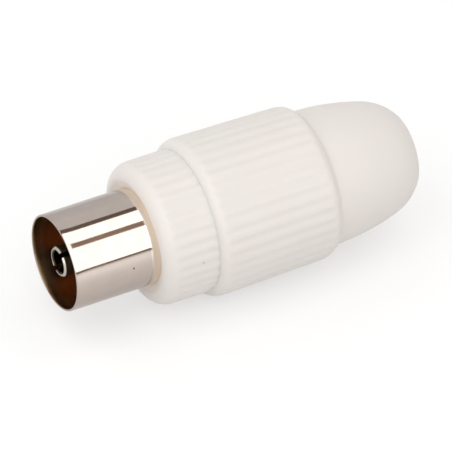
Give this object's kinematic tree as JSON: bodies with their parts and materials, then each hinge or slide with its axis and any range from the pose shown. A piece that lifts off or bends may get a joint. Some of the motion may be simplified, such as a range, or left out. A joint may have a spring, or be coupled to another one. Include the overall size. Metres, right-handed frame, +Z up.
{
  "type": "coaxial line socket",
  "caption": "Straight coaxial line socket: plated sleeve with a split centre contact, ribbed white collar, and a screw-on ribbed hood with a rounded tail and a cable entry.",
  "frame": {"origin": "on the socket's axis, in the plane of the mouth", "axes": "+X along the axis towards the cable entry, +Z up; the socket lies on its side on the hood's ribs"},
  "size_m": [0.0395, 0.0166, 0.0166],
  "materials": {
    "white_plastic": "satin moulded, warm white",
    "nickel_sleeve": "nickel plated, polished",
    "nickel_contact": "nickel plated, turned",
    "nickel_claw": "nickel plated, pressed",
    "zinc_screw": "zinc plated",
    "brown_plastic": "brown phenolic, matt"
  },
  "bodies": {
    "front": {"front_collar": "white_plastic", "outer_sleeve": "nickel_sleeve", "insulator": "brown_plastic", "centre_contact": "nickel_contact"},
    "screw": {"conductor_screw": "zinc_screw"},
    "claw": {"cable_claw": "nickel_claw"},
    "hood": {"rear_hood": "white_plastic"}
  },
  "joints": [
    {"name": "claw_slide", "type": "slide", "parent": "front", "child": "claw", "axis": [1, 0, 0], "range_m": [0, 0.00525]},
    {"name": "hood_turn", "type": "hinge", "parent": "claw", "child": "hood", "pos_m": [0.022, 0, 0], "axis": [1, 0, 0], "range_deg": [0, 1260]},
    {"name": "screw_turn", "type": "hinge", "parent": "front", "child": "screw", "pos_m": [0.0233, 0, -0.003], "axis": [0, 0, -1], "range_deg": [-990, 0]}
  ],
  "couplings": [
    {"joint": "hood_turn", "follows": "claw_slide", "rad_per_m": 4188.8}
  ]
}
